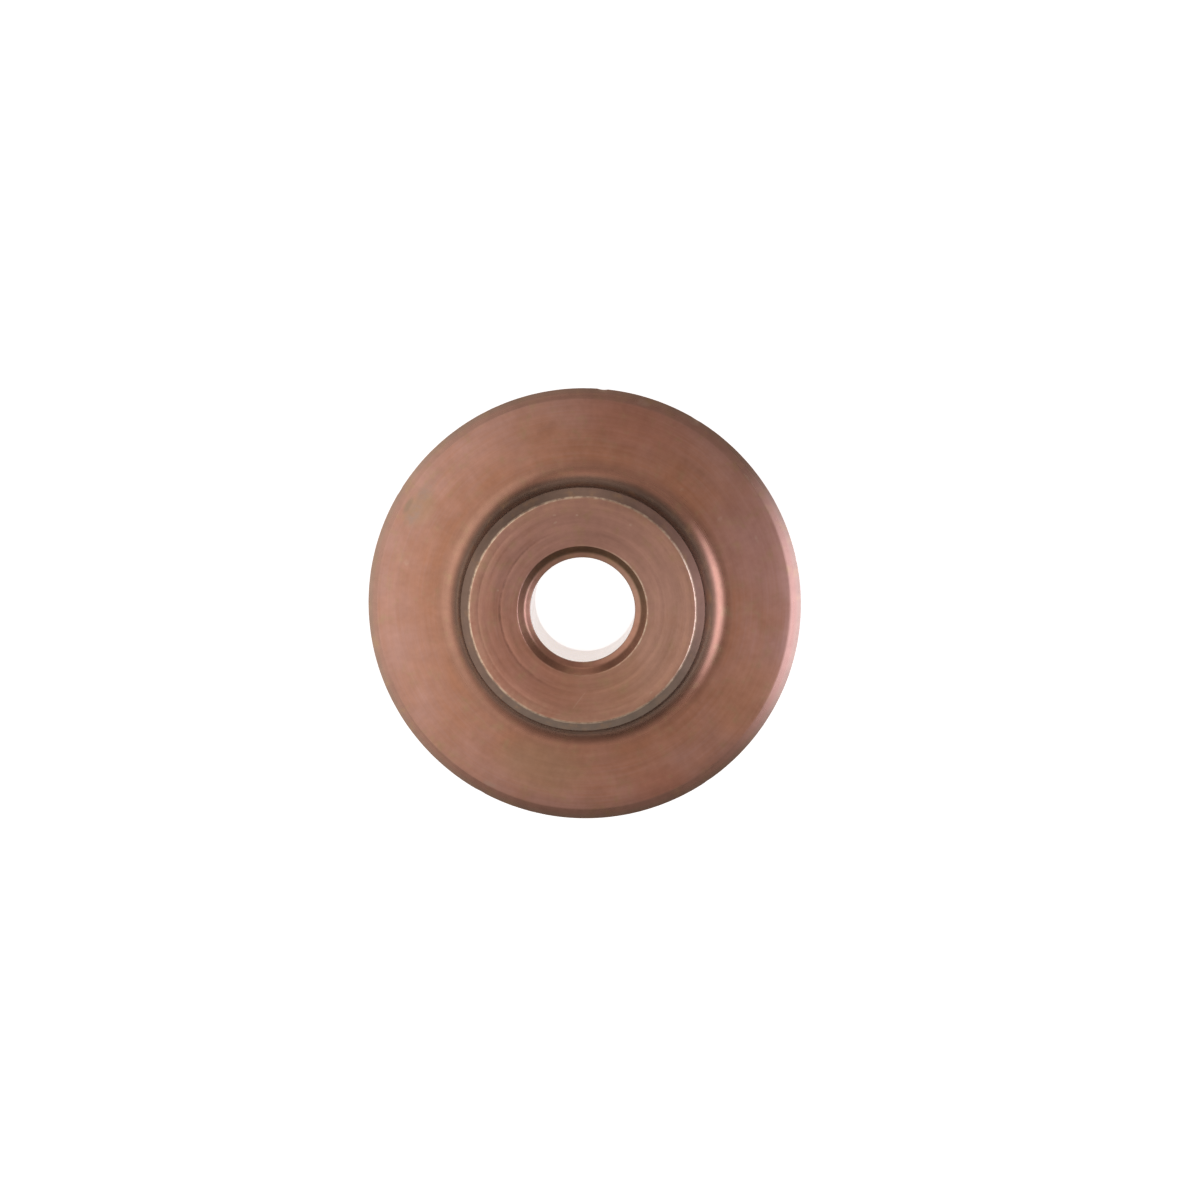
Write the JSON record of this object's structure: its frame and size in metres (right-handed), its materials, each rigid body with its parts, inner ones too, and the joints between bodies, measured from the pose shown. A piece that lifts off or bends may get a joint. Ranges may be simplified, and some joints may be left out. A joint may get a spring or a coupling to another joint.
{
  "type": "pipe cutter wheel",
  "caption": "Turned steel disc with a sharp bevelled rim, a raised hub on each side and a plain bore for the pin it spins on, used to cut pipe.",
  "frame": {"origin": "middle of the bore, on the face of the lower hub, which the wheel lies on", "axes": "+Z along the bore axis, from the lower hub face to the upper one; the wheel is round about Z"},
  "size_m": [0.034, 0.034, 0.0082],
  "materials": {
    "bronzed_steel": "hardened tool steel with a thin brown heat tint over fine turned rings, worn bright along the hub edges"
  },
  "bodies": {
    "root": {"cutter_wheel": "bronzed_steel"}
  },
  "joints": []
}
